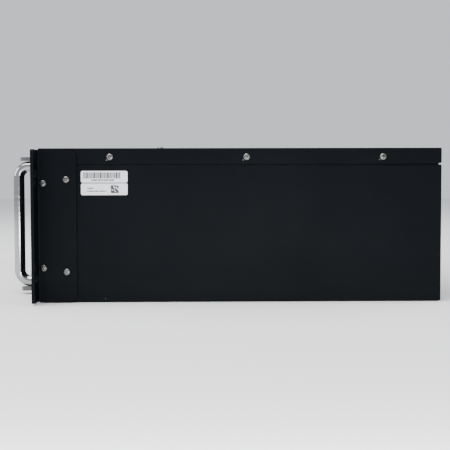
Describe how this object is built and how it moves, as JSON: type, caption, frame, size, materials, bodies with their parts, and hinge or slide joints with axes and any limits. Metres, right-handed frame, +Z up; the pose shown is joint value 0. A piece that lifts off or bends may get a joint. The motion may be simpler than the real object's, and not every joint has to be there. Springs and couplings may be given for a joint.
{
  "type": "server rack battery",
  "caption": "Rack-mounted lithium battery module: black steel case with mounting ears, folding chrome handles, front terminals and switches.",
  "frame": {"origin": "centre of the footprint on the plane of the case's underside", "axes": "+X across the width, +Y from the front panel to the rear, +Z up"},
  "size_m": [0.4826, 0.383, 0.1343],
  "materials": {
    "black_coat": "fine-textured semi-matte powder coat",
    "zinc": "bright zinc plated",
    "bright_chrome": "polished chrome",
    "satin_steel": "satin steel",
    "label": "matt white sticker",
    "cell_wrap": "blue film over aluminium can",
    "separator": "insulating sheet",
    "end_plate": "milled",
    "strap": "rolled",
    "busbar": "rolled",
    "glass_board": "fibreglass sheet",
    "circuit_board": "solder mask",
    "brass_post": "plain",
    "heatsink": "anodised",
    "white_plastic": "moulded",
    "red_cable": "soft sheath",
    "black_cable": "soft sheath",
    "grey_plastic": "moulded",
    "black_plastic": "moulded",
    "reset_cap": "moulded",
    "dip_blue": "moulded",
    "dip_white": "moulded",
    "lens": "diffuse lens",
    "red_plastic": "moulded",
    "tinned_stud": "plain"
  },
  "bodies": {
    "case": {"bms_board": "circuit_board", "bms_connectors": "white_plastic", "bms_heatsink": "heatsink", "bms_standoffs": "brass_post", "breaker_body": "grey_plastic", "busbar_nuts": "zinc", "busbars": "busbar", "case_screws": "zinc", "cell_01": "cell_wrap", "cell_02": "cell_wrap", "cell_03": "cell_wrap", "cell_04": "cell_wrap", "cell_05": "cell_wrap", "cell_06": "cell_wrap", "cell_07": "cell_wrap", "cell_08": "cell_wrap", "cell_09": "cell_wrap", "cell_10": "cell_wrap", "cell_11": "cell_wrap", "cell_12": "cell_wrap", "cell_13": "cell_wrap", "cell_14": "cell_wrap", "cell_15": "cell_wrap", "cell_16": "cell_wrap", "cell_base_board": "glass_board", "cell_separators": "separator", "chassis_tray": "black_coat", "comm_ports": "black_plastic", "dip_switch_body": "dip_blue", "end_plates": "end_plate", "front_panel": "black_coat", "ground_stud": "zinc", "handle_nuts": "zinc", "handle_pins": "satin_steel", "handle_posts": "satin_steel", "led_lenses": "lens", "negative_cable": "black_cable", "negative_terminal_base": "black_plastic", "positive_cable": "red_cable", "positive_terminal_base": "red_plastic", "power_switch_body": "black_plastic", "rack_ear_left": "black_coat", "rack_ear_right": "black_coat", "reset_switch_body": "black_plastic", "side_labels": "label", "terminal_nuts": "zinc", "terminal_studs": "tinned_stud", "tie_straps": "strap", "top_cover": "black_coat"},
    "handle_left": {"handle_bar_left": "bright_chrome"},
    "handle_right": {"handle_bar_right": "bright_chrome"},
    "toggle": {"breaker_toggle": "black_plastic"},
    "rocker": {"power_rocker": "black_plastic"},
    "reset": {"reset_button": "reset_cap"},
    "cover_positive": {"terminal_cover_positive": "red_plastic"},
    "cover_negative": {"terminal_cover_negative": "black_plastic"},
    "slider_1": {"dip_slider_1": "dip_white"},
    "slider_2": {"dip_slider_2": "dip_white"},
    "slider_3": {"dip_slider_3": "dip_white"},
    "slider_4": {"dip_slider_4": "dip_white"}
  },
  "joints": [
    {"name": "handle_left_fold", "type": "hinge", "parent": "case", "child": "handle_left", "pos_m": [-0.158, -0.1715, 0.065], "axis": [0, 0, 1], "range_deg": [0, 90]},
    {"name": "handle_right_fold", "type": "hinge", "parent": "case", "child": "handle_right", "pos_m": [0.158, -0.1715, 0.065], "axis": [0, 0, 1], "range_deg": [-90, 0]},
    {"name": "breaker_throw", "type": "hinge", "parent": "case", "child": "toggle", "pos_m": [-0.092, -0.1565, 0.066], "axis": [1, 0, 0], "range_deg": [-64, 0]},
    {"name": "rocker_tilt", "type": "hinge", "parent": "case", "child": "rocker", "pos_m": [0.103, -0.1565, 0.078], "axis": [1, 0, 0], "range_deg": [-20, 0]},
    {"name": "reset_press", "type": "slide", "parent": "case", "child": "reset", "axis": [0, 1, 0], "range_m": [0, 0.0012], "stiffness_N_per_m": 400},
    {"name": "cover_positive_lift", "type": "hinge", "parent": "case", "child": "cover_positive", "pos_m": [-0.038, -0.1655, 0.089], "axis": [1, 0, 0], "range_deg": [-100, 0]},
    {"name": "cover_negative_lift", "type": "hinge", "parent": "case", "child": "cover_negative", "pos_m": [0.006, -0.1655, 0.089], "axis": [1, 0, 0], "range_deg": [-100, 0]},
    {"name": "slider_1_move", "type": "slide", "parent": "case", "child": "slider_1", "axis": [0, 0, 1], "range_m": [0, 0.0024]},
    {"name": "slider_2_move", "type": "slide", "parent": "case", "child": "slider_2", "axis": [0, 0, 1], "range_m": [0, 0.0024]},
    {"name": "slider_3_move", "type": "slide", "parent": "case", "child": "slider_3", "axis": [0, 0, 1], "range_m": [0, 0.0024]},
    {"name": "slider_4_move", "type": "slide", "parent": "case", "child": "slider_4", "axis": [0, 0, 1], "range_m": [0, 0.0024]}
  ]
}
